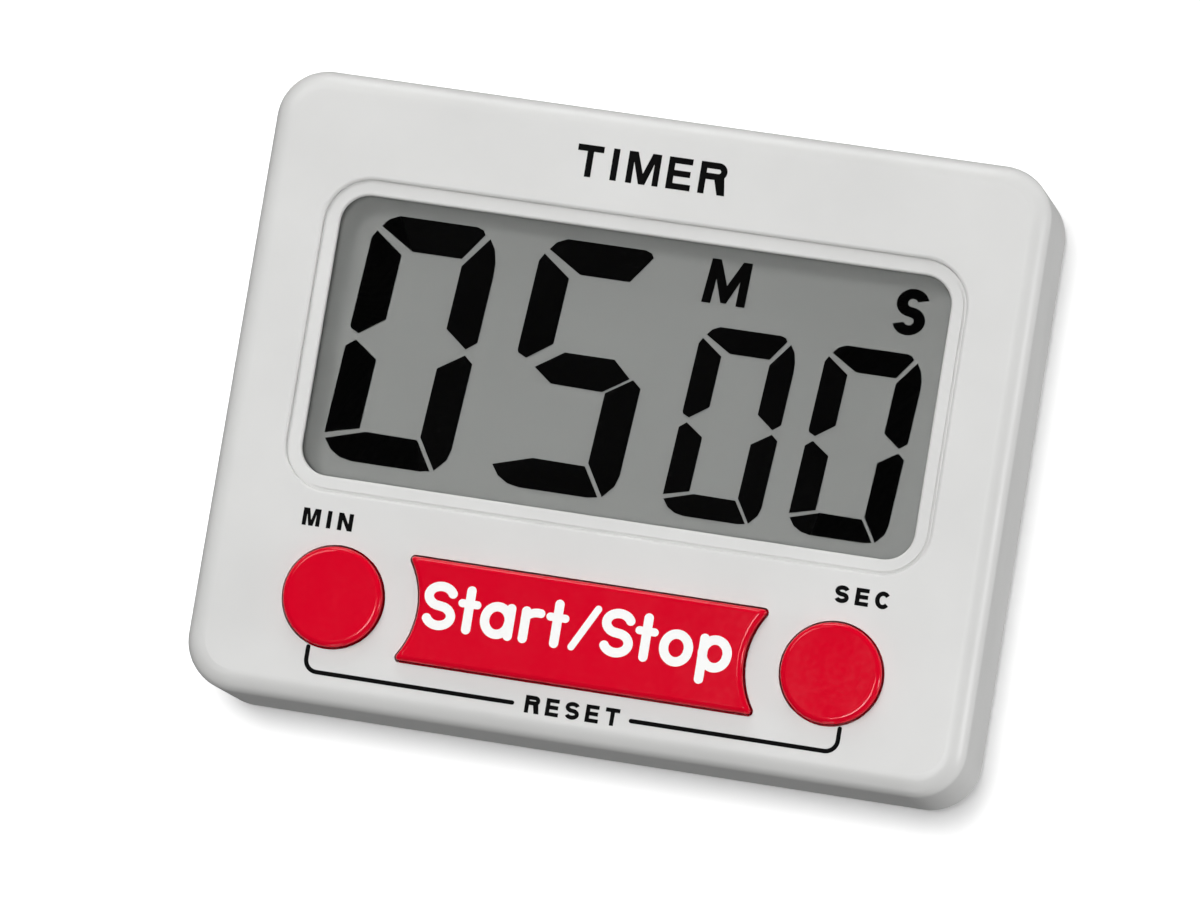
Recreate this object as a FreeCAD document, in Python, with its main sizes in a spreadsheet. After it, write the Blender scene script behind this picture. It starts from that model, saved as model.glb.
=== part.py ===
import FreeCAD
import Part
import Sketcher
import math
import os

# Lab timer: a pocket countdown timer lying on its back, face up.
# +X runs to the right of the face, +Y to its top edge, +Z out of the face.
# Z = 0 is the back plane that the timer rests on. All sizes are in millimetres.

doc = FreeCAD.newDocument("lab_timer")
sheet = doc.addObject("Spreadsheet::Sheet", "Dims")

DRIVING = [
    # case
    ("case_width", 76.0), ("case_height", 61.0), ("face_level", 18.0), ("split_level", 2.5),
    ("corner_round", 4.9), ("face_round", 2.0), ("side_draft", 1.0), ("wall", 1.9), ("face_wall", 2.0),
    # display window and opening
    ("window_width", 62.5), ("window_height", 30.3), ("window_centre", 5.08), ("window_round", 4.5),
    ("window_depth", 0.45), ("opening_inset", 1.5), ("opening_round", 2.8), ("window_edge", 0.35),
    ("opening_edge", 0.25), ("groove_width", 0.3), ("groove_depth", 0.25), ("lens_inset", 0.6),
    ("lens_gap", 0.1), ("lens_seat", 1.0), ("lens_thick", 0.94),
    # display stack
    ("polariser_top", 15.9), ("glass_top", 15.7), ("digit_top", 15.0), ("digit_thick", 0.1),
    ("glass_thick", 0.7), ("glass_half_width", 31.2), ("glass_bottom", -11.2), ("glass_upper", 20.6),
    ("contact_ledge", 2.0), ("reflector_thick", 0.2),
    # circuit board
    ("board_top", 13.4), ("board_thick", 1.0), ("board_half_width", 35.4), ("board_half_height", 27.6),
    # keys
    ("key_row", -20.0), ("key_offset", 24.12), ("key_radius", 4.81), ("key_top", 18.9),
    ("key_edge", 0.55), ("key_gap", 0.2), ("flange_extra", 1.1), ("flange_bottom", 15.2),
    ("flange_top", 15.98), ("bow_half_height", 5.0), ("bow_waist", 8.35), ("bow_corner", 0.3),
    ("mat_thick", 0.6), ("dome_radius", 4.2), ("dome_wall", 0.4),
    ("puck_radius", 2.4), ("puck_bottom", 14.65), ("pill_radius", 1.7), ("pill_bottom", 14.3),
    # fasteners
    ("screw_x", 32.5), ("screw_y", 25.0), ("boss_radius", 2.5), ("boss_bottom", 4.6),
    ("board_boss_radius", 1.5), ("board_boss_x", 33.9),
    # back shell
    ("back_inset", 0.3), ("back_plate", 2.4), ("back_edge", 1.0), ("lip_top", 4.4), ("lip_thick", 1.2),
    # battery bay and door
    ("cell_radius", 5.25), ("cell_row", -20.2), ("cell_level", 7.05), ("cell_length", 44.5),
    ("bay_half_length", 26.6), ("bay_half_width", 6.0), ("bay_wall", 0.8), ("bay_top", 12.3),
    ("door_half_width", 28.1), ("door_thick", 1.6), ("door_inner_edge", -12.7), ("door_gap", 0.15),
    ("rail_reach", 1.2),
    # stand
    ("stand_half_width", 18.9), ("stand_free_edge", -8.3), ("hinge_row", 16.5), ("hinge_level", 1.6),
    ("knuckle_radius", 1.3), ("trunnion_radius", 0.8), ("trunnion_gap", 0.06), ("stand_bottom", 0.3),
    ("stand_thick", 1.4), ("stand_side_gap", 0.3),
    # magnets
    ("magnet_x", 29.0), ("magnet_y", 6.0), ("magnet_radius", 5.0), ("magnet_thick", 2.0),
    # sounder
    ("sounder_y", 4.0), ("sounder_radius", 10.0), ("sounder_level", 6.0),
]


class Size:
    """A length that carries both its number and the sheet formula behind it."""

    def __init__(self, value, text):
        self.value = float(value)
        self.text = text

    def __add__(self, other):
        other = size(other)
        return Size(self.value + other.value, "(%s + %s)" % (self.text, other.text))

    def __radd__(self, other):
        return size(other) + self

    def __sub__(self, other):
        other = size(other)
        return Size(self.value - other.value, "(%s - %s)" % (self.text, other.text))

    def __rsub__(self, other):
        return size(other) - self

    def __mul__(self, other):
        other = size(other)
        return Size(self.value * other.value, "(%s * %s)" % (self.text, other.text))

    def __rmul__(self, other):
        return size(other) * self

    def __truediv__(self, other):
        other = size(other)
        return Size(self.value / other.value, "(%s / %s)" % (self.text, other.text))

    def __neg__(self):
        return Size(-self.value, "(0 - %s)" % self.text)


def size(item):
    """Turn a plain number into a Size."""
    if isinstance(item, Size):
        return item
    if item < 0:
        return Size(item, "(0 - %.6g)" % -item)
    return Size(item, "%.6g" % item)


class Driving:
    """The driving dimensions, one attribute for each row of the sheet."""


def fill_sheet():
    driving = Driving()
    for row, (name, value) in enumerate(DRIVING, start=1):
        sheet.set("A%d" % row, name)
        sheet.set("B%d" % row, "%.6g" % value)
        sheet.setAlias("B%d" % row, name)
        setattr(driving, name, Size(value, "Dims." + name))
    return driving


D = fill_sheet()
doc.recompute()
NODES = []


def node(item, name):
    """Register a finished piece under its node name."""
    item.Label = name
    NODES.append((name, item))
    return item


# ---------------------------------------------------------------- sketches and features

def new_body(name):
    return doc.addObject("PartDesign::Body", name)


def origin_plane(body, role):
    for feature in body.Origin.OriginFeatures:
        if feature.Role == role:
            return feature
    raise ValueError(role)


def new_sketch(body, name, level=0, role="XY_Plane"):
    """A sketch on one of the body's own origin planes, lifted to a level."""
    sketch = body.newObject("Sketcher::SketchObject", name)
    sketch.AttachmentSupport = (origin_plane(body, role), [""])
    sketch.MapMode = "FlatFace"
    level = size(level)
    if level.value:
        sketch.AttachmentOffset = FreeCAD.Placement(FreeCAD.Vector(0, 0, level.value), FreeCAD.Rotation())
        sketch.setExpression("AttachmentOffset.Base.z", level.text)
    return sketch


def drive(sketch, index, amount):
    """Bind one sketch constraint to its formula."""
    name = "c%d" % index
    sketch.renameConstraint(index, name)
    sketch.setExpression("Constraints." + name, size(amount).text)


def pin_point(sketch, geo, point, x, y):
    """Hold a point of a sketch at x, y from the sketch's origin."""
    x, y = size(x), size(y)
    for axis, amount, line in (("X", x, -2), ("Y", y, -1)):
        if abs(amount.value) < 1e-9:
            sketch.addConstraint(Sketcher.Constraint("PointOnObject", geo, point, line))
        else:
            rule = Sketcher.Constraint("Distance" + axis, -1, 1, geo, point, amount.value)
            drive(sketch, sketch.addConstraint(rule), amount)


def draw_circle(sketch, x, y, radius):
    x, y, radius = size(x), size(y), size(radius)
    shape = Part.Circle(FreeCAD.Vector(x.value, y.value, 0), FreeCAD.Vector(0, 0, 1), radius.value)
    geo = sketch.addGeometry(shape)
    pin_point(sketch, geo, 3, x, y)
    drive(sketch, sketch.addConstraint(Sketcher.Constraint("Radius", geo, radius.value)), radius)


def draw_rectangle(sketch, left, right, bottom, top):
    """A sharp-cornered rectangle held by its two opposite corners."""
    left, right, bottom, top = size(left), size(right), size(bottom), size(top)
    corners = [(left, bottom), (right, bottom), (right, top), (left, top)]
    points = [FreeCAD.Vector(x.value, y.value, 0) for x, y in corners]
    lines = []
    for place in range(4):
        lines.append(sketch.addGeometry(Part.LineSegment(points[place], points[(place + 1) % 4])))
    for place in range(4):
        following = lines[(place + 1) % 4]
        sketch.addConstraint(Sketcher.Constraint("Coincident", lines[place], 2, following, 1))
    for place in (0, 2):
        sketch.addConstraint(Sketcher.Constraint("Horizontal", lines[place]))
    for place in (1, 3):
        sketch.addConstraint(Sketcher.Constraint("Vertical", lines[place]))
    pin_point(sketch, lines[0], 1, left, bottom)
    pin_point(sketch, lines[2], 1, right, top)


def draw_round_rectangle(sketch, left, right, bottom, top, radius):
    """A rectangle with four equal round corners."""
    left, right, bottom, top, radius = size(left), size(right), size(bottom), size(top), size(radius)
    r = radius.value
    x0, x1, y0, y1 = left.value, right.value, bottom.value, top.value
    ends = [((x0 + r, y0), (x1 - r, y0)), ((x1, y0 + r), (x1, y1 - r)),
            ((x1 - r, y1), (x0 + r, y1)), ((x0, y1 - r), (x0, y0 + r))]
    lines = []
    for start, stop in ends:
        segment = Part.LineSegment(FreeCAD.Vector(*start, 0), FreeCAD.Vector(*stop, 0))
        lines.append(sketch.addGeometry(segment))
    centres = [(x1 - r, y0 + r, -90), (x1 - r, y1 - r, 0), (x0 + r, y1 - r, 90), (x0 + r, y0 + r, 180)]
    arcs = []
    for x, y, turn in centres:
        ring = Part.Circle(FreeCAD.Vector(x, y, 0), FreeCAD.Vector(0, 0, 1), r)
        arcs.append(sketch.addGeometry(Part.ArcOfCircle(ring, math.radians(turn), math.radians(turn + 90))))
    for place in range(4):
        sketch.addConstraint(Sketcher.Constraint("Tangent", lines[place], 2, arcs[place], 1))
        sketch.addConstraint(Sketcher.Constraint("Tangent", arcs[place], 2, lines[(place + 1) % 4], 1))
    for place in (0, 2):
        sketch.addConstraint(Sketcher.Constraint("Horizontal", lines[place]))
    for place in (1, 3):
        sketch.addConstraint(Sketcher.Constraint("Vertical", lines[place]))
    for place in (1, 2, 3):
        sketch.addConstraint(Sketcher.Constraint("Equal", arcs[0], arcs[place]))
    drive(sketch, sketch.addConstraint(Sketcher.Constraint("Radius", arcs[0], r)), radius)
    pin_point(sketch, lines[0], 1, left + radius, bottom)
    pin_point(sketch, lines[2], 1, right - radius, top)


def draw_triangle(sketch, points):
    """A triangle held by its three corners."""
    lines = []
    for place in range(3):
        start, stop = points[place], points[(place + 1) % 3]
        segment = Part.LineSegment(FreeCAD.Vector(*start, 0), FreeCAD.Vector(*stop, 0))
        lines.append(sketch.addGeometry(segment))
    for place in range(3):
        following = lines[(place + 1) % 3]
        sketch.addConstraint(Sketcher.Constraint("Coincident", lines[place], 2, following, 1))
    for line, (x, y) in zip(lines, points):
        pin_point(sketch, line, 1, x, y)


def draw_bow_tie(sketch, half_height, waist):
    """The start/stop outline: straight top and bottom, ends hollowed around the round keys."""
    half_height, waist = size(half_height), size(waist)
    row, reach = D.key_row, D.key_offset
    rise, radius = half_height.value, waist.value
    inward = math.sqrt(radius ** 2 - rise ** 2)
    tip = reach.value - inward
    y0, y1 = row.value - rise, row.value + rise
    bottom = sketch.addGeometry(Part.LineSegment(FreeCAD.Vector(-tip, y0, 0), FreeCAD.Vector(tip, y0, 0)))
    top = sketch.addGeometry(Part.LineSegment(FreeCAD.Vector(tip, y1, 0), FreeCAD.Vector(-tip, y1, 0)))
    lean = math.asin(rise / radius)
    right_ring = Part.Circle(FreeCAD.Vector(reach.value, row.value, 0), FreeCAD.Vector(0, 0, 1), radius)
    left_ring = Part.Circle(FreeCAD.Vector(-reach.value, row.value, 0), FreeCAD.Vector(0, 0, 1), radius)
    right = sketch.addGeometry(Part.ArcOfCircle(right_ring, math.pi - lean, math.pi + lean))
    left = sketch.addGeometry(Part.ArcOfCircle(left_ring, -lean, lean))
    sketch.addConstraint(Sketcher.Constraint("Coincident", bottom, 2, right, 2))
    sketch.addConstraint(Sketcher.Constraint("Coincident", top, 1, right, 1))
    sketch.addConstraint(Sketcher.Constraint("Coincident", top, 2, left, 2))
    sketch.addConstraint(Sketcher.Constraint("Coincident", bottom, 1, left, 1))
    sketch.addConstraint(Sketcher.Constraint("Horizontal", bottom))
    sketch.addConstraint(Sketcher.Constraint("Horizontal", top))
    pin_point(sketch, right, 3, reach, row)
    pin_point(sketch, left, 3, -reach, row)
    drive(sketch, sketch.addConstraint(Sketcher.Constraint("Radius", right, radius)), waist)
    sketch.addConstraint(Sketcher.Constraint("Equal", right, left))
    low = Sketcher.Constraint("DistanceY", -1, 1, bottom, 1, y0)
    drive(sketch, sketch.addConstraint(low), row - half_height)
    high = Sketcher.Constraint("DistanceY", -1, 1, top, 1, y1)
    drive(sketch, sketch.addConstraint(high), row + half_height)


def pad(body, sketch, length, down=False, draft=None):
    """Extrude a sketch upward, or downward."""
    feature = body.newObject("PartDesign::Pad", sketch.Name + "_pad")
    feature.Profile = sketch
    feature.Length = size(length).value
    feature.setExpression("Length", size(length).text)
    feature.Reversed = down
    if draft is not None:
        feature.TaperAngle = draft.value
        feature.setExpression("TaperAngle", draft.text)
    doc.recompute()
    return feature


def pocket(body, sketch, depth, up=False):
    """Cut a sketch downward, or upward, and make sure that it removes something."""
    before = body.Shape.Volume
    feature = body.newObject("PartDesign::Pocket", sketch.Name + "_pocket")
    feature.Profile = sketch
    feature.Length = size(depth).value
    feature.setExpression("Length", size(depth).text)
    feature.Reversed = up
    doc.recompute()
    if body.Shape.Volume >= before - 1e-6:
        raise RuntimeError("pocket removed nothing: " + sketch.Name)
    return feature


def round_edges(body, name, radius, chosen):
    """Fillet the edges of the body's tip that the test picks."""
    tip = body.Tip
    names = []
    for place, edge in enumerate(tip.Shape.Edges, start=1):
        if chosen(edge):
            names.append("Edge%d" % place)
    if not names:
        raise RuntimeError("no edges for " + name)
    feature = body.newObject("PartDesign::Fillet", name)
    feature.Base = (tip, names)
    feature.Radius = size(radius).value
    feature.setExpression("Radius", size(radius).text)
    doc.recompute()
    return feature


def upright(edge):
    """True for a straight edge that rises mostly along Z."""
    if len(edge.Vertexes) != 2:
        return False
    chord = edge.Vertexes[1].Point - edge.Vertexes[0].Point
    return abs(chord.z) > 0.9 * chord.Length and abs(edge.Length - chord.Length) < 0.001


def level_at(edge, z, slack=0.01):
    box = edge.BoundBox
    return abs(box.ZMin - z) < slack and abs(box.ZMax - z) < slack


# ---------------------------------------------------------------- primitives

def place(item, x, y, z):
    for axis, amount in (("x", x), ("y", y), ("z", z)):
        item.setExpression("Placement.Base." + axis, size(amount).text)


def box(name, x0, x1, y0, y1, z0, z1):
    item = doc.addObject("Part::Box", name)
    for side, low, high in (("Length", x0, x1), ("Width", y0, y1), ("Height", z0, z1)):
        item.setExpression(side, (size(high) - size(low)).text)
    place(item, x0, y0, z0)
    return item


def rod(name, radius, length, x, y, z, along="Z"):
    """A cylinder that starts at x, y, z and runs along +X or +Z."""
    item = doc.addObject("Part::Cylinder", name)
    item.setExpression("Radius", size(radius).text)
    item.setExpression("Height", size(length).text)
    if along == "X":
        item.Placement = FreeCAD.Placement(FreeCAD.Vector(), FreeCAD.Rotation(FreeCAD.Vector(0, 1, 0), 90))
    place(item, x, y, z)
    return item


def cone(name, low_radius, high_radius, length, x, y, z):
    item = doc.addObject("Part::Cone", name)
    item.setExpression("Radius1", size(low_radius).text)
    item.setExpression("Radius2", size(high_radius).text)
    item.setExpression("Height", size(length).text)
    place(item, x, y, z)
    return item


def cut(name, base, tool):
    item = doc.addObject("Part::Cut", name)
    item.Base = base
    item.Tool = tool
    return item


def join(name, items):
    item = doc.addObject("Part::MultiFuse", name)
    item.Shapes = items
    return item


def group(name, items):
    item = doc.addObject("Part::Compound", name)
    item.Links = items
    return item


# ---------------------------------------------------------------- case

def make_front_case():
    """The white shell: face, drafted side walls, window recess, key holes and bosses."""
    body = new_body("front_case")
    half_w, half_h = D.case_width / 2, D.case_height / 2
    outline = new_sketch(body, "front_outline", D.split_level)
    draw_rectangle(outline, -half_w, half_w, -half_h, half_h)
    pad(body, outline, D.face_level - D.split_level, draft=-D.side_draft)
    round_edges(body, "front_corners", D.corner_round, upright)
    round_edges(body, "front_face_edge", D.face_round, lambda edge: level_at(edge, D.face_level.value))

    hollow = new_sketch(body, "front_hollow", D.split_level)
    draw_round_rectangle(hollow, -half_w + D.wall, half_w - D.wall, -half_h + D.wall, half_h - D.wall,
                         D.corner_round - D.wall)
    pocket(body, hollow, D.face_level - D.face_wall - D.split_level, up=True)

    recess = new_sketch(body, "window_recess", D.face_level)
    window_outline(recess, 0)
    pocket(body, recess, D.window_depth)
    groove = new_sketch(body, "window_groove", D.face_level - D.window_depth)
    window_outline(groove, 0)
    window_outline(groove, D.groove_width)
    pocket(body, groove, D.groove_depth)
    opening = new_sketch(body, "display_opening", D.face_level)
    window_outline(opening, D.opening_inset, D.opening_round)
    pocket(body, opening, D.face_wall + 0.5)
    lens_seat = new_sketch(body, "lens_seat", D.face_level - D.face_wall)
    window_outline(lens_seat, D.lens_inset - D.lens_gap)
    pocket(body, lens_seat, D.lens_seat, up=True)

    keys = new_sketch(body, "round_key_holes", D.face_level)
    for side in (-1, 1):
        draw_circle(keys, side * D.key_offset, D.key_row, D.key_radius + D.key_gap)
    pocket(body, keys, D.face_wall + 0.5)
    bow = new_sketch(body, "start_stop_hole", D.face_level)
    draw_bow_tie(bow, D.bow_half_height + D.key_gap, D.bow_waist - D.key_gap)
    pocket(body, bow, D.face_wall + 0.5)
    round_edges(body, "start_stop_hole_corners", D.bow_corner + D.key_gap, in_bow_tie_corner)
    round_edges(body, "window_rim", D.window_edge, on_window_rim)
    round_edges(body, "opening_rim", D.opening_edge, on_opening_rim)

    bosses = new_sketch(body, "case_bosses", D.face_level - D.face_wall)
    for x, y in corners(D.screw_x, D.screw_y):
        draw_circle(bosses, x, y, D.boss_radius)
    pad(body, bosses, D.face_level - D.face_wall - D.boss_bottom, down=True)
    pilot = new_sketch(body, "case_boss_holes", D.boss_bottom)
    for x, y in corners(D.screw_x, D.screw_y):
        draw_circle(pilot, x, y, 1.0)
    pocket(body, pilot, 7.5, up=True)

    small = new_sketch(body, "board_bosses", D.face_level - D.face_wall)
    for x, y in board_screw_places():
        draw_circle(small, x, y, D.board_boss_radius)
    pad(body, small, D.face_level - D.face_wall - D.board_top, down=True)
    small_pilot = new_sketch(body, "board_boss_holes", D.board_top)
    for x, y in board_screw_places():
        draw_circle(small_pilot, x, y, 0.85)
    pocket(body, small_pilot, 2.2, up=True)
    return node(body, "front_case")


def window_outline(sketch, inset, radius=None):
    half_w = D.window_width / 2 - inset
    half_h = D.window_height / 2 - inset
    if radius is None:
        radius = D.window_round - inset
    draw_round_rectangle(sketch, -half_w, half_w, D.window_centre - half_h, D.window_centre + half_h, radius)


def in_bow_tie_corner(edge):
    """True for the four upright edges where the bow-tie's flats meet its hollow ends."""
    if not upright(edge):
        return False
    middle = edge.CenterOfMass
    return 15.0 < abs(middle.x) < 19.0 and 4.0 < abs(middle.y - D.key_row.value) < 6.0


def on_window_rim(edge):
    if not level_at(edge, D.face_level.value):
        return False
    middle = edge.CenterOfMass
    inside_x = abs(middle.x) < D.window_width.value / 2 + 0.1
    inside_y = abs(middle.y - D.window_centre.value) < D.window_height.value / 2 + 0.1
    return inside_x and inside_y


def on_opening_rim(edge):
    """True for the inner edge of the white band round the display."""
    if not level_at(edge, (D.face_level - D.window_depth).value):
        return False
    extent, middle = edge.BoundBox, edge.BoundBox.Center
    reach_x = abs(middle.x) + extent.XLength / 2
    reach_y = abs(middle.y - D.window_centre.value) + extent.YLength / 2
    inside_x = reach_x < (D.window_width / 2 - D.opening_inset).value + 0.1
    inside_y = reach_y < (D.window_height / 2 - D.opening_inset).value + 0.1
    return inside_x and inside_y


def corners(x, y):
    return [(x, y), (-x, y), (-x, -y), (x, -y)]


def board_screw_places():
    x = D.board_boss_x
    return [(x, size(14.0)), (-x, size(14.0)), (-x, size(-15.0)), (x, size(-15.0))]


def make_rear_case():
    """The back shell: plate with locating lip, battery bay, stand recess and screw pillars."""
    body = new_body("rear_case")
    half_w = D.case_width / 2 - D.back_inset
    half_h = D.case_height / 2 - D.back_inset
    outline = new_sketch(body, "back_outline")
    draw_round_rectangle(outline, -half_w, half_w, -half_h, half_h, D.corner_round - D.back_inset)
    pad(body, outline, D.back_plate)
    round_edges(body, "back_edge", D.back_edge, lambda edge: level_at(edge, 0.0))

    lip = new_sketch(body, "lip", D.back_plate)
    lip_w = D.case_width / 2 - D.wall - 0.1
    lip_h = D.case_height / 2 - D.wall - 0.1
    lip_round = D.corner_round - D.wall - 0.1
    draw_round_rectangle(lip, -lip_w, lip_w, -lip_h, lip_h, lip_round)
    draw_round_rectangle(lip, -lip_w + D.lip_thick, lip_w - D.lip_thick, -lip_h + D.lip_thick,
                         lip_h - D.lip_thick, lip_round - D.lip_thick)
    pad(body, lip, D.lip_top - D.back_plate)

    pillars = new_sketch(body, "screw_pillars", D.back_plate)
    for x, y in corners(D.screw_x, D.screw_y):
        draw_circle(pillars, x, y, D.boss_radius)
    pad(body, pillars, D.boss_bottom - 0.05 - D.back_plate)

    seat = new_sketch(body, "stand_seat", D.back_plate)
    draw_round_rectangle(seat, -22.0, 22.0, -11.0, D.hinge_row + 3.4, 1.5)
    pad(body, seat, 1.2)
    housing = new_sketch(body, "hinge_housing", D.back_plate)
    draw_round_rectangle(housing, -21.8, 21.8, D.hinge_row - 3.0, D.hinge_row + 3.2, 1.0)
    pad(body, housing, 1.8)
    magnet_seat = new_sketch(body, "magnet_seats", D.back_plate)
    for side in (-1, 1):
        draw_circle(magnet_seat, side * D.magnet_x, D.magnet_y, D.magnet_radius + 1.2)
    pad(body, magnet_seat, 0.8)

    bay = new_sketch(body, "bay_walls", D.back_plate)
    x, y, row = D.bay_half_length, D.bay_half_width, D.cell_row
    draw_round_rectangle(bay, -x - D.bay_wall, x + D.bay_wall, row - y - D.bay_wall, row + y + D.bay_wall, 1.3)
    draw_round_rectangle(bay, -x, x, row - y, row + y, 0.5)
    pad(body, bay, D.bay_top - D.back_plate)

    chamber = new_sketch(body, "sounder_ring", D.back_plate + 1.2)
    draw_circle(chamber, 0, D.sounder_y, D.sounder_radius + 0.6)
    draw_circle(chamber, 0, D.sounder_y, D.sounder_radius - 0.8)
    pad(body, chamber, D.sounder_level - D.back_plate - 1.2)
    vent = new_sketch(body, "sounder_outlet", D.sounder_level - 0.6)
    draw_rectangle(vent, -2.0, 2.0, D.sounder_y + 8.0, D.sounder_y + 11.5)
    pocket(body, vent, 1.0)

    stand_recess = new_sketch(body, "stand_recess")
    x = D.stand_half_width + D.stand_side_gap
    draw_rectangle(stand_recess, -x, x, D.stand_free_edge - 0.5, D.hinge_row + D.knuckle_radius + 0.3)
    pocket(body, stand_recess, D.stand_bottom + D.stand_thick + 0.2, up=True)
    hinge_recess = new_sketch(body, "hinge_recess")
    draw_rectangle(hinge_recess, -x, x, D.hinge_row - 2.2, D.hinge_row + D.knuckle_radius + 0.3)
    pocket(body, hinge_recess, D.hinge_level + D.knuckle_radius + 0.2, up=True)
    finger = new_sketch(body, "finger_notch")
    draw_circle(finger, 0, D.stand_free_edge + 0.3, 3.8)
    pocket(body, finger, D.stand_bottom + D.stand_thick + 0.2, up=True)
    sockets = new_sketch(body, "trunnion_sockets", -D.stand_half_width - 1.75, role="YZ_Plane")
    draw_circle(sockets, D.hinge_row, D.hinge_level, D.trunnion_radius + D.trunnion_gap)
    pocket(body, sockets, 2 * D.stand_half_width + 3.5, up=True)

    door_seat = new_sketch(body, "door_seat")
    x = D.door_half_width + D.door_gap
    draw_rectangle(door_seat, -x, x, -half_h - 1.0, D.door_inner_edge + D.door_gap)
    pocket(body, door_seat, D.door_thick + 0.1, up=True)
    rails = new_sketch(body, "door_rails", 0.6)
    reach = x + D.rail_reach + 0.1
    draw_rectangle(rails, -reach, reach, -half_h - 1.0, D.door_inner_edge + D.door_gap)
    pocket(body, rails, 0.8, up=True)
    bay_mouth = new_sketch(body, "bay_mouth")
    draw_rectangle(bay_mouth, -D.bay_half_length, D.bay_half_length, D.cell_row - D.bay_half_width,
                   D.cell_row + D.bay_half_width)
    pocket(body, bay_mouth, D.back_plate + 0.1, up=True)

    magnets = new_sketch(body, "magnet_pockets")
    for side in (-1, 1):
        draw_circle(magnets, side * D.magnet_x, D.magnet_y, D.magnet_radius + 0.05)
    pocket(body, magnets, D.magnet_thick + 0.05, up=True)
    holes = new_sketch(body, "case_screw_holes")
    for x, y in corners(D.screw_x, D.screw_y):
        draw_circle(holes, x, y, 1.15)
    pocket(body, holes, 6.0, up=True)
    heads = new_sketch(body, "case_screw_heads")
    for x, y in corners(D.screw_x, D.screw_y):
        draw_circle(heads, x, y, 2.1)
    pocket(body, heads, 1.3, up=True)
    slots = new_sketch(body, "sound_slots")
    for column in range(-2, 3):
        middle = 3.0 * column
        draw_round_rectangle(slots, middle - 0.6, middle + 0.6, 20.6, 26.0, 0.55)
    pocket(body, slots, D.back_plate + 2.5, up=True)
    return node(body, "rear_case")


def make_window():
    """The clear plate that sits in its seat behind the opening."""
    body = new_body("display_window")
    bottom = D.face_level - D.face_wall + 0.03
    outline = new_sketch(body, "window_plate", bottom)
    window_outline(outline, D.lens_inset)
    pad(body, outline, D.lens_thick)
    top = (bottom + D.lens_thick).value
    round_edges(body, "window_plate_edge", 0.15, lambda edge: level_at(edge, top))
    return node(body, "display_window")


# ---------------------------------------------------------------- display

def make_display():
    """Polariser, two glass plates, edge seal, reflector, frame and contact strip."""
    w, low, high = D.glass_half_width, D.glass_bottom, D.glass_upper
    ledge = low + D.contact_ledge
    node(box("lcd_polariser", -w + 0.4, w - 0.4, ledge - 1.2, high - 0.4, D.glass_top, D.polariser_top),
         "lcd_polariser")
    node(box("lcd_front_glass", -w, w, low, high, D.digit_top, D.glass_top), "lcd_front_glass")
    rear_top = D.digit_top - D.digit_thick
    rear_bottom = rear_top - D.glass_thick
    node(box("lcd_rear_glass", -w, w, ledge, high, rear_bottom, rear_top), "lcd_rear_glass")
    ring = cut("lcd_edge_seal",
               box("seal_outer", -w + 0.1, w - 0.1, ledge + 0.1, high - 0.1, rear_top, D.digit_top),
               box("seal_inner", -w + 0.7, w - 0.7, ledge + 0.7, high - 0.7, rear_top - 1, D.digit_top + 1))
    node(ring, "lcd_edge_seal")
    node(box("lcd_reflector", -w + 0.4, w - 0.4, ledge + 0.4, high - 0.4,
             rear_bottom - D.reflector_thick, rear_bottom), "lcd_reflector")
    node(box("zebra_strip", -29.0, 29.0, low + 0.2, low + 1.8, D.board_top, D.digit_top), "zebra_strip")


def make_lcd_frame():
    """The moulded frame that holds the glass on the board."""
    body = new_body("lcd_frame")
    w, low, high = D.glass_half_width + 0.05, D.glass_bottom - 0.05, D.glass_upper + 0.05
    ring = new_sketch(body, "frame_ring", D.board_top)
    draw_round_rectangle(ring, -w - 1.0, w + 1.0, low - 1.0, high + 1.0, 1.0)
    draw_round_rectangle(ring, -w, w, low, high, 0.1)
    pad(body, ring, D.glass_top - 0.1 - D.board_top)
    shelf = new_sketch(body, "frame_shelf", D.board_top)
    draw_round_rectangle(shelf, -w - 0.5, w + 0.5, low + 4.0, high + 0.5, 0.4)
    draw_round_rectangle(shelf, -w + 1.8, w - 1.8, low + 5.6, high - 1.8, 0.6)
    pad(body, shelf, 0.55)
    return node(body, "lcd_frame")


def segment_outlines(w, h, s):
    """Segment outlines of one upright digit. Offsets are in stroke widths from the point named."""
    x, y = w / 2, h / 2

    def top_left(dx, dy):
        return -x + dx * s, y - dy * s

    def top_right(dx, dy):
        return x - dx * s, y - dy * s

    def low_left(dx, dy):
        return -x + dx * s, -y + dy * s

    def low_right(dx, dy):
        return x - dx * s, -y + dy * s

    def left(dx, dy):
        return -x + dx * s, dy * s

    def right(dx, dy):
        return x - dx * s, dy * s

    return {
        "a": [top_left(0.23, 0.37), top_left(0.4, 0.14), top_left(0.7, 0), top_right(0.8, 0),
              top_right(0.6, 0.07), top_right(0.52, 0.2), top_right(1.05, 1), top_left(1.3, 1)],
        "f": [top_left(0.12, 0.52), top_left(0, 0.75), left(0, 0.3), left(0.04, 0.2), left(0.3, 0.08),
              left(1, 0.6), top_left(1, 1.15)],
        "b": [top_right(0.34, 0.3), top_right(0.14, 0.6), top_right(0.03, 1), top_right(0, 1.4),
              right(0, 0.3), right(0.3, 0.06), right(1, 0.58), top_right(1, 1.22)],
        "e": [left(0.27, -0.12), left(0, -0.34), low_left(0, 0.74), low_left(1, 1), left(1, -0.62)],
        "c": [right(0.27, -0.12), right(0, -0.34), low_right(0, 0.78), low_right(0.08, 0.44),
              low_right(0.38, 0.08), low_right(1, 1), right(1, -0.62)],
        "d": [low_left(0.06, 0.57), low_left(0.3, 0.26), low_left(0.62, 0.07), low_left(1, 0),
              low_right(0.8, 0), low_right(0.5, 0.05), low_right(1.08, 0.9), low_left(1.2, 0.92)],
        "g": [left(0.62, -0.15), left(1.4, 0.4), right(0.95, 0.4), right(0.38, -0.1), right(1.1, -0.6),
              left(1.2, -0.57)],
    }


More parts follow.
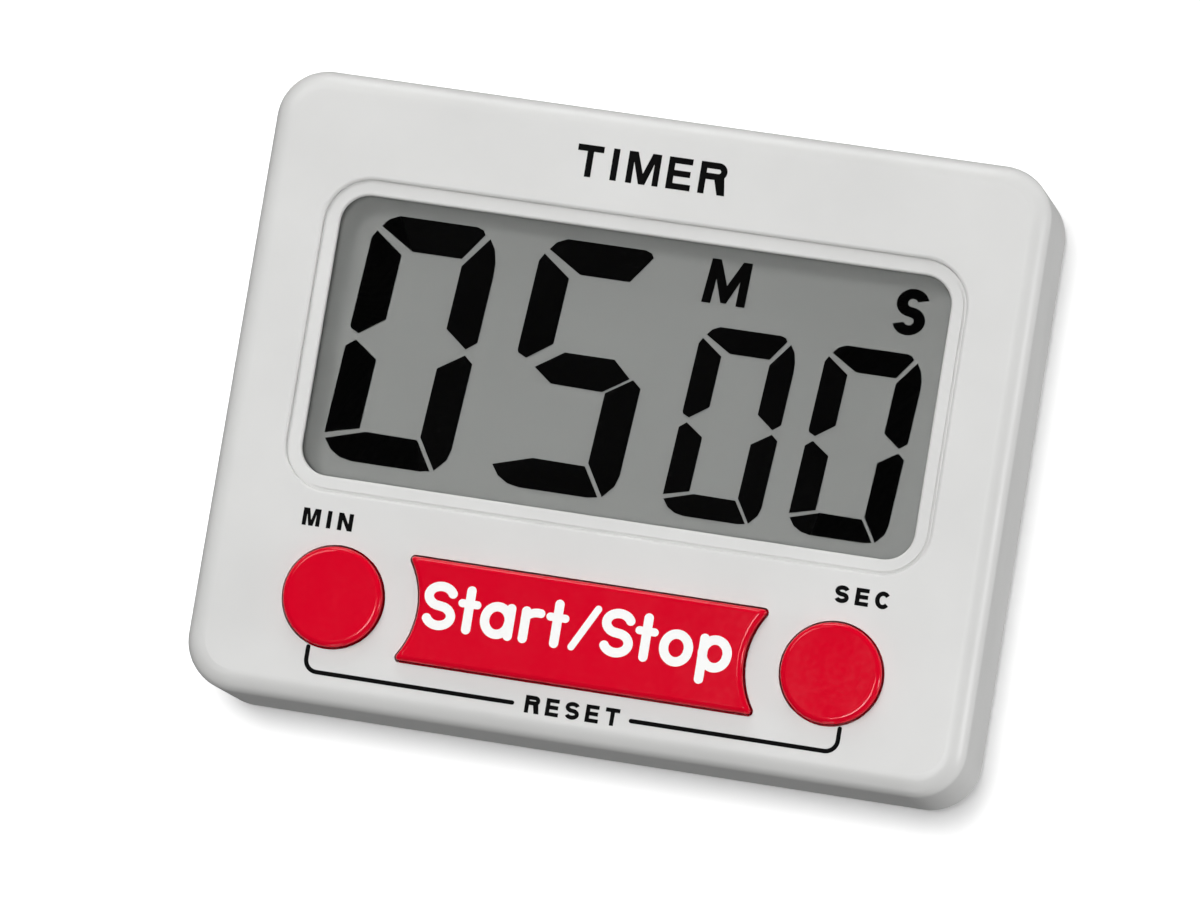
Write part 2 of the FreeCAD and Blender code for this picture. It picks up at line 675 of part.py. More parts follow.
def flat_piece(points, bottom, thick):
    loop = [FreeCAD.Vector(px, py, bottom) for px, py in points]
    loop.append(loop[0])
    return Part.Face(Part.makePolygon(loop)).extrude(FreeCAD.Vector(0, 0, thick))


def slanted(points, cx, cy):
    """Lean an upright outline to the right and centre it on the display."""
    return [(cx + px + 0.072 * py, cy + py) for px, py in points]


def letter_s(height, stroke, widen):
    """An S drawn as two ring sectors, widened along X."""
    radius = (height - stroke) / 4
    inner, outer = radius - stroke / 2, radius + stroke / 2
    faces = []
    for centre, start, stop in ((radius, 18, 270), (-radius, -162, 90)):
        points = []
        steps = 14
        for step in range(steps + 1):
            turn = math.radians(start + (stop - start) * step / steps)
            points.append((outer * math.cos(turn), centre + outer * math.sin(turn)))
        for step in range(steps, -1, -1):
            turn = math.radians(start + (stop - start) * step / steps)
            points.append((inner * math.cos(turn), centre + inner * math.sin(turn)))
        faces.append([(px * widen, py) for px, py in points])
    return faces


def make_digits():
    """The dark liquid-crystal segments: large 05, small 00 and the letters M and S."""
    bottom, thick = (D.digit_top - D.digit_thick).value, D.digit_thick.value
    shown = {"0": "abcdef", "5": "afgcd"}
    rows = [
        ("0", -21.33, 5.43, 12.5, 24.1, 3.25),
        ("5", -4.85, 5.43, 12.5, 24.3, 3.25),
        ("0", 10.4, 2.1, 9.55, 18.4, 2.42),
        ("0", 22.62, 2.1, 9.55, 18.4, 2.42),
    ]
    solids = []
    for figure, cx, cy, w, h, s in rows:
        outlines = segment_outlines(w, h, s)
        for letter in shown[figure]:
            solids.append(flat_piece(slanted(outlines[letter], cx, cy), bottom, thick))
    solids.append(flat_piece(slanted(letter_m(4.2, 4.3, 0.87), 7.98, 15.6), bottom, thick))
    halves = [flat_piece(slanted(points, 25.75, 15.33), bottom, thick) for points in letter_s(4.5, 0.95, 1.13)]
    solids.append(halves[0].fuse(halves[1]).removeSplitter())
    item = doc.addObject("Part::Feature", "lcd_digits")
    item.Shape = Part.makeCompound(solids)
    return node(item, "lcd_digits")


def letter_m(width, height, stroke):
    """The outline of a capital M with slightly splayed legs, centred on the origin."""
    x, y = width / 2, height / 2
    top = x - 0.15
    return [(-x, -y), (-x + stroke, -y), (-top + stroke * 0.9, y - height * 0.44), (-0.27, -y + 0.15),
            (0.27, -y + 0.15), (top - stroke * 0.9, y - height * 0.44), (x - stroke, -y), (x, -y),
            (top, y), (top - stroke, y), (0, y - height * 0.57), (-top + stroke, y), (-top, y)]


# ---------------------------------------------------------------- board and its parts

def make_circuit_board():
    body = new_body("circuit_board")
    outline = new_sketch(body, "board_outline", D.board_top - D.board_thick)
    draw_round_rectangle(outline, -D.board_half_width, D.board_half_width, -D.board_half_height,
                         D.board_half_height, 4.8)
    pad(body, outline, D.board_thick)
    notches = new_sketch(body, "boss_notches", D.board_top)
    for x, y in corners(D.screw_x, D.screw_y):
        draw_circle(notches, x, y, D.boss_radius + 0.3)
    pocket(body, notches, D.board_thick + 0.5)
    holes = new_sketch(body, "board_screw_holes", D.board_top)
    for x, y in board_screw_places():
        draw_circle(holes, x, y, 0.95)
    pocket(body, holes, D.board_thick + 0.5)
    return node(body, "circuit_board")


def make_board_parts():
    """Small parts on the board: key pads on top, chip, crystal, resistors and capacitors below."""
    under = D.board_top - D.board_thick
    pads = []
    for name, x in (("pad_min", -D.key_offset), ("pad_start_stop", size(0)), ("pad_sec", D.key_offset)):
        pads.append(rod(name, 2.6, 0.04, x, D.key_row, D.board_top))
    node(group("key_pads", pads), "key_pads")

    blob = new_body("chip_blob")
    disc = new_sketch(blob, "blob_outline", under - 1.3)
    draw_circle(disc, 14.0, 6.0, 5.5)
    pad(blob, disc, 1.3)
    round_edges(blob, "blob_edge", 1.0, lambda edge: level_at(edge, (under - 1.3).value))
    node(blob, "chip_blob")

    node(rod("timing_crystal", 1.0, 6.0, 5.0, 22.0, under - 1.0, along="X"), "timing_crystal")
    resistors = []
    for column in range(5):
        x = -24.0 + 4.0 * column
        resistors.append(box("resistor_%d" % column, x, x + 1.6, 22.5, 23.3, under - 0.5, under))
    node(group("board_resistors", resistors), "board_resistors")
    capacitors = []
    for row in range(4):
        y = -3.0 + 4.0 * row
        capacitors.append(box("capacitor_%d" % row, -24.0, -22.0, y, y + 1.25, under - 0.9, under))
    node(group("board_capacitors", capacitors), "board_capacitors")


# ---------------------------------------------------------------- keys

def make_round_key(name, x):
    """A round key: cap through the face, wider flange behind it."""
    body = new_body(name)
    flange = new_sketch(body, name + "_flange", D.flange_bottom)
    draw_circle(flange, x, D.key_row, D.key_radius + D.flange_extra)
    pad(body, flange, D.flange_top - D.flange_bottom)
    cap = new_sketch(body, name + "_cap", D.flange_top)
    draw_circle(cap, x, D.key_row, D.key_radius)
    pad(body, cap, D.key_top - D.flange_top)
    round_edges(body, name + "_edge", D.key_edge, lambda edge: level_at(edge, D.key_top.value))
    return node(body, name)


def make_start_stop_key():
    """The wide bow-tie key between the two round ones."""
    name = "start_stop_button"
    body = new_body(name)
    flange = new_sketch(body, name + "_flange", D.flange_bottom)
    draw_bow_tie(flange, D.bow_half_height + D.flange_extra, D.bow_waist - D.flange_extra)
    pad(body, flange, D.flange_top - D.flange_bottom)
    round_edges(body, name + "_flange_corners", D.bow_corner, in_flange_corner)
    cap = new_sketch(body, name + "_cap", D.flange_top)
    draw_bow_tie(cap, D.bow_half_height, D.bow_waist)
    pad(body, cap, D.key_top - D.flange_top)
    round_edges(body, name + "_corners", D.bow_corner, in_cap_corner)
    round_edges(body, name + "_edge", D.key_edge, lambda edge: level_at(edge, D.key_top.value))
    return node(body, name)


def in_flange_corner(edge):
    return upright(edge) and edge.BoundBox.ZMax < D.flange_top.value + 0.01


def in_cap_corner(edge):
    return upright(edge) and edge.BoundBox.ZMin > D.flange_top.value - 0.01


def make_key_underside(name, x):
    """Silicone puck, carbon pill and collapsing dome under one key."""
    puck = rod(name + "_puck", D.puck_radius, D.flange_bottom - D.puck_bottom, x, D.key_row, D.puck_bottom)
    node(puck, name + "_puck")
    pill = rod(name + "_pill", D.pill_radius, D.puck_bottom - D.pill_bottom, x, D.key_row, D.pill_bottom)
    node(pill, name + "_pill")
    base = D.board_top + D.mat_thick
    rise = D.flange_bottom - base
    top_outer = D.puck_radius + D.dome_wall
    outer = cone(name + "_dome_outer", D.dome_radius, top_outer, rise, x, D.key_row, base)
    inner = cone(name + "_dome_inner", D.dome_radius - D.dome_wall, D.puck_radius, rise, x, D.key_row, base)
    node(cut(name + "_dome", outer, inner), name + "_dome")


def make_keypad_mat():
    """The silicone sheet under the keys, open below each dome."""
    body = new_body("keypad_mat")
    sheet_outline = new_sketch(body, "mat_outline", D.board_top)
    draw_round_rectangle(sheet_outline, -29.6, 29.6, -27.0, -12.6, 1.5)
    for x in (-D.key_offset, size(0), D.key_offset):
        draw_circle(sheet_outline, x, D.key_row, D.dome_radius - D.dome_wall - 0.1)
    pad(body, sheet_outline, D.mat_thick)
    return node(body, "keypad_mat")


# ---------------------------------------------------------------- sounder

def make_sounder():
    """Brass disc, ceramic layer and two lead wires up to the board."""
    level = D.sounder_level
    node(rod("sounder_disc", D.sounder_radius, 0.2, 0, D.sounder_y, level), "sounder_disc")
    node(rod("sounder_ceramic", 7.0, 0.2, 0, D.sounder_y, level + 0.2), "sounder_ceramic")
    lead_wire("sounder_wire_red", -2.0, 3.0, (level + 0.4).value)
    lead_wire("sounder_wire_black", -8.8, 7.0, (level + 0.2).value)


def lead_wire(name, x, y, z):
    """A short insulated wire that leaves flat and bends up to the board."""
    radius, bend, run = 0.4, 2.6, 1.5
    top = (D.board_top - D.board_thick).value
    start = FreeCAD.Vector(x, y, z + radius)
    corner = FreeCAD.Vector(x - run, y, z + radius)
    half = math.radians(45)
    middle = FreeCAD.Vector(x - run - bend * math.sin(half), y, z + radius + bend * (1 - math.cos(half)))
    turned = FreeCAD.Vector(x - run - bend, y, z + radius + bend)
    end = FreeCAD.Vector(x - run - bend, y, top)
    path = Part.Wire([Part.makeLine(start, corner), Part.Arc(corner, middle, turned).toShape(),
                      Part.makeLine(turned, end)])
    section = Part.Wire([Part.makeCircle(radius, start, FreeCAD.Vector(-1, 0, 0))])
    item = doc.addObject("Part::Feature", name)
    item.Shape = path.makePipeShell([section], True, False)
    return node(item, name)


# ---------------------------------------------------------------- battery

def make_battery():
    """One AAA cell lying along X, its sleeve and the two contacts."""
    length, row, level = D.cell_length, D.cell_row, D.cell_level
    right = size(24.9)
    left = right - length
    can = rod("cell_can", D.cell_radius - 0.15, length - 1.0, left, row, level, along="X")
    nub = rod("cell_nub", 1.9, 1.0, right - 1.0, row, level, along="X")
    node(join("aaa_cell", [can, nub]), "aaa_cell")
    sleeve = cut("cell_sleeve",
                 rod("sleeve_outer", D.cell_radius, length - 2.0, left + 0.5, row, level, along="X"),
                 rod("sleeve_inner", D.cell_radius - 0.15, length, left - 0.5, row, level, along="X"))
    node(sleeve, "cell_sleeve")

    top = D.board_top - D.board_thick
    plate = box("positive_plate", 25.4, 25.8, row - 4.2, row + 4.2, 2.9, 11.6)
    bump = rod("positive_bump", 1.6, 0.6, 24.9, row, level, along="X")
    tab = box("positive_tab", 25.4, 25.8, row - 1.2, row + 1.2, 11.0, top)
    node(join("positive_contact", [plate, bump, tab]), "positive_contact")

    back = box("negative_plate", -25.8, -25.4, row - 4.2, row + 4.2, 2.9, 11.6)
    solder_tab = box("negative_tab", -25.8, -25.4, row - 1.2, row + 1.2, 11.0, top)
    node(join("negative_contact", [back, solder_tab]), "negative_contact")
    make_battery_spring(-25.4 + 0.3, left.value - 0.3)


def make_battery_spring(start, stop):
    """A tapering coil between the contact plate and the flat end of the cell."""
    turns, steps = 4, 48
    points = []
    for step in range(steps + 1):
        share = step / steps
        turn = 2 * math.pi * turns * share
        radius = 3.6 - 0.8 * share
        points.append(FreeCAD.Vector(start + (stop - start) * share,
                                     D.cell_row.value + radius * math.cos(turn),
                                     D.cell_level.value + radius * math.sin(turn)))
    coil = Part.BSplineCurve()
    coil.interpolate(points)
    along = coil.tangent(coil.FirstParameter)[0]
    section = Part.Wire([Part.makeCircle(0.28, points[0], along)])
    item = doc.addObject("Part::Feature", "battery_spring")
    item.Shape = Part.Wire([coil.toShape()]).makePipeShell([section], True, True)
    return node(item, "battery_spring")


def make_battery_door():
    """The sliding door with side tongues and a ribbed thumb grip."""
    body = new_body("battery_door")
    half_h = D.case_height / 2 - D.back_inset
    w = D.door_half_width
    plate = new_sketch(body, "door_plate", 0.02)
    draw_rectangle(plate, -w, w, -half_h, D.door_inner_edge)
    pad(body, plate, D.door_thick - 0.02)
    round_edges(body, "door_outer_edge", D.back_edge - 0.02, on_door_outer_edge)
    tongues = new_sketch(body, "door_tongues", 0.75)
    reach = w + D.rail_reach
    draw_rectangle(tongues, -reach, reach, -half_h + 1.2, D.door_inner_edge)
    pad(body, tongues, 0.5)
    grip = new_sketch(body, "door_grip", 0.02)
    for row in range(5):
        y = -27.0 + 1.6 * row
        draw_round_rectangle(grip, -7.0, 7.0, y, y + 0.8, 0.35)
    pocket(body, grip, 0.4, up=True)
    arrow = new_sketch(body, "door_arrow", 0.02)
    draw_triangle(arrow, [(0, -19.0), (2.4, -15.2), (-2.4, -15.2)])
    pocket(body, arrow, 0.35, up=True)
    return node(body, "battery_door")


def on_door_outer_edge(edge):
    box_ = edge.BoundBox
    outer = -(D.case_height / 2 - D.back_inset).value
    return level_at(edge, 0.02) and abs(box_.YMin - outer) < 0.01 and abs(box_.YMax - outer) < 0.01


# ---------------------------------------------------------------- stand, magnets, screws

def make_stand():
    """The fold-out stand: plate, hinge knuckle and two trunnions."""
    body = new_body("stand")
    w = D.stand_half_width
    plate = new_sketch(body, "stand_plate", D.stand_bottom)
    draw_rectangle(plate, -w, w, D.stand_free_edge, D.hinge_row)
    pad(body, plate, D.stand_thick)
    round_edges(body, "stand_corners", 2.5, at_free_corner)
    knuckle = new_sketch(body, "stand_knuckle", -w, role="YZ_Plane")
    draw_circle(knuckle, D.hinge_row, D.hinge_level, D.knuckle_radius)
    pad(body, knuckle, 2 * w)
    trunnion = new_sketch(body, "stand_trunnion", -w - 1.5, role="YZ_Plane")
    draw_circle(trunnion, D.hinge_row, D.hinge_level, D.trunnion_radius)
    pad(body, trunnion, 2 * w + 3.0)
    panel = new_sketch(body, "stand_panel", D.stand_bottom)
    draw_round_rectangle(panel, -14.5, 14.5, -4.0, 12.0, 2.0)
    pocket(body, panel, 0.5, up=True)
    return node(body, "stand")


def at_free_corner(edge):
    return upright(edge) and edge.CenterOfMass.y < D.stand_free_edge.value + 1.0


def make_magnets():
    pieces = []
    for side in (-1, 1):
        pieces.append(rod("magnet_%s" % ("left" if side < 0 else "right"), D.magnet_radius,
                          D.magnet_thick, side * D.magnet_x, D.magnet_y, 0))
    return node(group("magnets", pieces), "magnets")


def make_screws():
    """Four case screws from the back and four board screws into the face bosses."""
    case = []
    for place_, (x, y) in enumerate(corners(D.screw_x, D.screw_y)):
        head = cut("case_head_slotted_%d" % place_, rod("case_head_%d" % place_, 1.9, 1.05, x, y, 0.25),
                   join("case_cross_%d" % place_, [
                       box("case_slot_a_%d" % place_, x - 1.2, x + 1.2, y - 0.25, y + 0.25, 0, 0.85),
                       box("case_slot_b_%d" % place_, x - 0.25, x + 0.25, y - 1.2, y + 1.2, 0, 0.85)]))
        shank = rod("case_shank_%d" % place_, 0.95, 9.7, x, y, 1.3)
        case.append(join("case_screw_%d" % place_, [head, shank]))
    node(group("case_screws", case), "case_screws")
    under = D.board_top - D.board_thick
    small = []
    for place_, (x, y) in enumerate(board_screw_places()):
        head = rod("board_head_%d" % place_, 1.45, 0.9, x, y, under - 0.9)
        shank = rod("board_shank_%d" % place_, 0.8, 3.0, x, y, under)
        small.append(join("board_screw_%d" % place_, [head, shank]))
    node(group("board_screws", small), "board_screws")


def build():
    make_front_case()
    make_rear_case()
    make_window()
    make_display()
    make_lcd_frame()
    make_digits()
    make_circuit_board()
    make_board_parts()
    make_keypad_mat()
    make_round_key("min_button", -D.key_offset)
    make_round_key("sec_button", D.key_offset)
    make_start_stop_key()
    for name, x in (("min", -D.key_offset), ("start_stop", size(0)), ("sec", D.key_offset)):
        make_key_underside(name, x)
    make_sounder()
    make_battery()
    make_battery_door()
    make_stand()
    make_magnets()
    make_screws()


def check_and_write():
    """Recompute, refuse anything broken, then write one STEP file for each node."""
    doc.recompute()
    for item in doc.Objects:
        if "Invalid" in item.State or "Error" in item.State:
            raise RuntimeError("broken object: " + item.Label)
    for name, item in NODES:
        shape = item.Shape
        if shape.isNull() or not shape.isValid():
            raise RuntimeError("bad shape: " + name)
    os.makedirs("parts", exist_ok=True)
    for name, item in NODES:
        item.Shape.exportStep("parts/%s.step" % name)
        box_ = item.Shape.BoundBox
        print("%-20s solids %2d volume %9.2f  x %6.2f %6.2f  y %6.2f %6.2f  z %5.2f %5.2f" % (
            name, len(item.Shape.Solids), item.Shape.Volume, box_.XMin, box_.XMax, box_.YMin, box_.YMax,
            box_.ZMin, box_.ZMax))


build()
check_and_write()
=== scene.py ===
import math

import bmesh
import bpy
from mathutils import Matrix, Vector


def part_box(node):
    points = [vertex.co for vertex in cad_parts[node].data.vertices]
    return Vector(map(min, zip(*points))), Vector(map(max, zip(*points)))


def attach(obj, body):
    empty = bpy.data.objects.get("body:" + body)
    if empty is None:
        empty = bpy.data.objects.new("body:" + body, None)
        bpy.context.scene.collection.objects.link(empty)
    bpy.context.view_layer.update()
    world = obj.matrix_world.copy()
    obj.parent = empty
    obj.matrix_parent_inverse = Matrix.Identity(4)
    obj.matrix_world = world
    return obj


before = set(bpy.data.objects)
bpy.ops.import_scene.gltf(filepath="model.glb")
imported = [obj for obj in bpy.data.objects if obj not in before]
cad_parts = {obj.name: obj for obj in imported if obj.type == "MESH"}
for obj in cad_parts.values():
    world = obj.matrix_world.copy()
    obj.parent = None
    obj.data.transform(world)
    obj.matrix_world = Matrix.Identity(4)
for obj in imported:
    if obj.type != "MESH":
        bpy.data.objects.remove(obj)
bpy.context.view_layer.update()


def top_of(node):
    """Height of a node's highest point, in metres."""
    return round(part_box(node)[1].z, 6)


MM = 0.001
FACE = top_of("front_case")
KEY_TOP = top_of("start_stop_button")
INK = 0.02 * MM         # how far print stands above the plastic
SUNK = 0.01 * MM        # how far print reaches into it
FLOOR_GAP = 0.01 * MM   # how far the floor lies below the back of the case
ACRYLIC_IOR = 1.49


# ------------------------------------------------------------------ shader building

class Wire:
    """One socket of a node tree. Arithmetic on it adds Math nodes."""

    def __init__(self, tree, socket):
        self.tree = tree
        self.socket = socket

    def _math(self, operation, first, second):
        return self.tree.node("ShaderNodeMath", {"operation": operation}, [first, second])

    def __add__(self, other):
        return self._math("ADD", self, other)

    def __radd__(self, other):
        return self._math("ADD", other, self)

    def __sub__(self, other):
        return self._math("SUBTRACT", self, other)

    def __rsub__(self, other):
        return self._math("SUBTRACT", other, self)

    def __mul__(self, other):
        return self._math("MULTIPLY", self, other)

    def __rmul__(self, other):
        return self._math("MULTIPLY", other, self)

    def above(self, level):
        """1 where the value is over this level, and 0 elsewhere."""
        return self._math("GREATER_THAN", self, level)


class NodeTree:
    """A node tree being built, with one method that adds any node."""

    def __init__(self, tree, output):
        self.tree = tree
        self.tree.nodes.clear()
        self.out = self.tree.nodes.new(output)

    def node(self, kind, settings=None, inputs=None, output=0):
        """Add a node: its settings first, then the value or the link of each socket."""
        made = self.tree.nodes.new(kind)
        for key, value in (settings or {}).items():
            setattr(made, key, value)
        pairs = inputs.items() if isinstance(inputs, dict) else enumerate(inputs or [])
        for key, value in pairs:
            if isinstance(value, Wire):
                self.tree.links.new(value.socket, made.inputs[key])
            else:
                made.inputs[key].default_value = value
        return Wire(self, made.outputs[output])

    def spread(self, value, low, high, start=0.3, stop=0.7):
        """Map a value that runs from start to stop onto low to high."""
        ends = {"From Min": start, "From Max": stop, "To Min": low, "To Max": high}
        return self.node("ShaderNodeMapRange", inputs={"Value": value, **ends})

    def surface(self, shader):
        """Let this shader be what the tree gives."""
        self.tree.links.new(shader.socket, self.out.inputs["Surface"])


class Paint(NodeTree):
    """A material being built."""

    def __init__(self, name):
        self.material = bpy.data.materials.new(name)
        self.material.use_nodes = True
        super().__init__(self.material.node_tree, "ShaderNodeOutputMaterial")

    def place(self):
        """Position on the object, in metres."""
        return self.node("ShaderNodeTexCoord", output="Object")

    def stretched(self, x, y, z):
        """Position scaled differently along each axis."""
        return self.node("ShaderNodeMapping", inputs={"Vector": self.place(), "Scale": (x, y, z)})

    def noise(self, size, detail=2.0, where=None):
        """Noise whose features are about this many metres across."""
        sockets = {"Vector": where or self.place(), "Scale": 1.0 / size, "Detail": detail}
        return self.node("ShaderNodeTexNoise", inputs=sockets, output="Fac")

    def colour_mix(self, share, first, second):
        """The first colour where the share is 0, the second where it is 1."""
        mix_share, mix_first, mix_second, mixed = 0, 6, 7, 2
        return self.node("ShaderNodeMix", {"data_type": "RGBA"},
                         {mix_share: share, mix_first: first, mix_second: second}, mixed)

    def mottled(self, noise, first, second):
        """A colour that drifts between two shades."""
        return self.colour_mix(self.spread(noise, 0.0, 1.0), first, second)

    def bump(self, height, depth, below=None):
        """Relief this deep in metres, on top of another relief if one is given."""
        sockets = {"Height": height, "Distance": depth, "Strength": 1.0}
        if below is not None:
            sockets["Normal"] = below
        return self.node("ShaderNodeBump", inputs=sockets)

    def principled(self, **inputs):
        """The main shader. Its sockets are named with _ for each space."""
        named = {key.replace("_", " "): value for key, value in inputs.items()}
        return self.node("ShaderNodeBsdfPrincipled", inputs=named)

    def finish(self, shader):
        self.surface(shader)
        return self.material


def colour(red, green, blue):
    return (red, green, blue, 1.0)


def grey(level):
    return colour(level, level, level)


def tint(base, factor):
    """The same colour, lighter or darker, and never past white."""
    return colour(*(min(1.0, channel * factor) for channel in base[:3]))


# ------------------------------------------------------------------ finishes

def moulded(name, base, roughness, grain=0.12 * MM, depth=0.0012 * MM, cloud=0.03, shine=0.5):
    """Moulded plastic: faint colour clouds, uneven gloss and a fine spark-eroded grain."""
    cloud_size, flow_size, gloss_sway = 14 * MM, 3.5 * MM, 0.03
    paint = Paint(name)
    clouds = paint.noise(cloud_size, 3.0)
    specks = paint.noise(grain)
    flow = paint.noise(flow_size, where=paint.stretched(1.0, 0.35, 1.0))
    shade = paint.mottled(clouds, tint(base, 1.0 - cloud), tint(base, 1.0 + cloud))
    gloss = (paint.spread(flow, roughness - gloss_sway, roughness + gloss_sway)
             + paint.spread(specks, -gloss_sway, gloss_sway))
    relief = paint.bump(specks, depth, paint.bump(flow, 2.0 * depth))
    return paint.finish(paint.principled(Base_Color=shade, Roughness=gloss, Normal=relief,
                                         Specular_IOR_Level=shine))


def metal(name, base, roughness, along=(1.0, 1.0, 1.0), streak=0.4 * MM, depth=0.001 * MM):
    """Plated or drawn metal with fine streaks along one axis and slight tarnish."""
    tarnish_size, dulled, polished = 3 * MM, 0.82, 1.05
    paint = Paint(name)
    streaks = paint.noise(streak, 4.0, paint.stretched(*along))
    tarnish = paint.noise(tarnish_size, 4.0)
    shade = paint.mottled(tarnish, tint(base, dulled), tint(base, polished))
    gloss = paint.spread(streaks, roughness - 0.08, roughness + 0.1)
    relief = paint.bump(streaks, depth)
    return paint.finish(paint.principled(Base_Color=shade, Roughness=gloss, Metallic=1.0,
                                         Normal=relief))


def clear_plate(name, through, gloss_share, roughness, wave=0.0):
    """A clear plate: light passes straight through it and its skin reflects."""
    film_size, film_depth, wave_size = 6 * MM, 0.0002 * MM, 9 * MM
    paint = Paint(name)
    film = paint.noise(film_size, 3.0)
    gloss = paint.spread(film, roughness, roughness + 0.03)
    if wave:
        relief = paint.bump(paint.noise(wave_size, 1.0), wave)
    else:
        relief = paint.bump(film, film_depth)
    skin = paint.principled(Base_Color=grey(0.02), Roughness=gloss, Normal=relief,
                            IOR=ACRYLIC_IOR)
    clear = paint.node("ShaderNodeBsdfTransparent", inputs={"Color": through})
    edge = paint.node("ShaderNodeFresnel", inputs={"IOR": ACRYLIC_IOR, "Normal": relief})
    return paint.finish(paint.node("ShaderNodeMixShader",
                                   inputs=[edge * gloss_share, clear, skin]))


def solder_mask(name):
    """Green board lacquer with raised tracks and a fibre weave showing faintly."""
    track_pattern = {"Scale": 260.0, "Mortar Size": 0.012, "Brick Width": 0.9, "Row Height": 0.35}
    fibre_size, track_depth, fibre_depth = 0.5 * MM, 0.02 * MM, 0.002 * MM
    paint = Paint(name)
    track = paint.node("ShaderNodeTexBrick", {"offset": 0.5},
                       {"Vector": paint.place(), **track_pattern}, "Fac")
    fibre = paint.noise(fibre_size, 3.0)
    base = paint.mottled(fibre, colour(0.012, 0.11, 0.035), colour(0.02, 0.16, 0.05))
    shade = paint.colour_mix(track, base, colour(0.03, 0.24, 0.08))
    relief = paint.bump(track, track_depth, paint.bump(fibre, fibre_depth))
    return paint.finish(paint.principled(Base_Color=shade, Roughness=0.3 + fibre * 0.1,
                                         Normal=relief))


def display_backing(name):
    """The grey reflective ground behind the digits, with a very fine sparkle."""
    sparkle_size, drift_size, sparkle_depth = 0.08 * MM, 20 * MM, 0.002 * MM
    paint = Paint(name)
    sparkle = paint.noise(sparkle_size)
    drift = paint.noise(drift_size)
    share = paint.spread(sparkle, 0.0, 0.6) + paint.spread(drift, 0.0, 0.4)
    shade = paint.colour_mix(share, colour(0.280, 0.288, 0.277), colour(0.306, 0.314, 0.303))
    gloss = paint.spread(sparkle, 0.5, 0.65)
    return paint.finish(paint.principled(Base_Color=shade, Roughness=gloss,
                                         Normal=paint.bump(sparkle, sparkle_depth)))


def banded_rubber(name):
    """Conductive strip: dark and pale slices across its length."""
    slices_scale, speck_size = 3200.0, 0.3 * MM
    paint = Paint(name)
    bands = paint.node("ShaderNodeTexWave", {"bands_direction": "X"},
                       {"Vector": paint.place(), "Scale": slices_scale, "Distortion": 0.0}, "Fac")
    shade = paint.colour_mix(bands.above(0.5), grey(0.02), colour(0.45, 0.43, 0.4))
    gloss = 0.5 + paint.noise(speck_size) * 0.2
    return paint.finish(paint.principled(Base_Color=shade, Roughness=gloss))


def cell_wrap(name):
    """The battery's plain two-tone sleeve, dark with a gold end."""
    gold_from, scuff_size, scuff_depth = 13.0 * MM, 0.6 * MM, 0.004 * MM
    paint = Paint(name)
    along = paint.node("ShaderNodeSeparateXYZ", inputs=[paint.place()], output="X")
    gold = along.above(gold_from)
    scuffs = paint.noise(scuff_size, 5.0, paint.stretched(0.2, 1.0, 1.0))
    dark = paint.mottled(scuffs, colour(0.02, 0.022, 0.026), colour(0.05, 0.05, 0.055))
    shade = paint.colour_mix(gold, dark, colour(0.55, 0.33, 0.12))
    gloss = paint.spread(scuffs, 0.18, 0.34)
    return paint.finish(paint.principled(Base_Color=shade, Roughness=gloss, Metallic=gold * 0.8,
                                         Normal=paint.bump(scuffs, scuff_depth)))


CASE_WHITE = colour(0.70, 0.70, 0.69)
KEY_RED = colour(0.71, 0.0, 0.018)
NICKEL = colour(0.72, 0.7, 0.64)
ZINC = colour(0.55, 0.55, 0.56)
BACK_GRAIN = {"grain": 0.2 * MM, "depth": 0.004 * MM}

key_gloss = moulded("key_red_gloss", KEY_RED, 0.14, grain=0.5 * MM, depth=0.0003 * MM,
                    cloud=0.02, shine=0.2)
ink_black = moulded("legend_ink_black", grey(0.003), 0.5, grain=0.06 * MM, cloud=0.3, shine=0.02)
ink_white = moulded("key_ink_white", colour(0.97, 0.97, 0.96), 0.45, grain=0.06 * MM, cloud=0.01)
silicone = moulded("silicone_grey", grey(0.38), 0.6, grain=0.3 * MM, depth=0.004 * MM)
carbon = moulded("carbon_print", grey(0.02), 0.7, grain=0.1 * MM, depth=0.006 * MM, cloud=0.3)

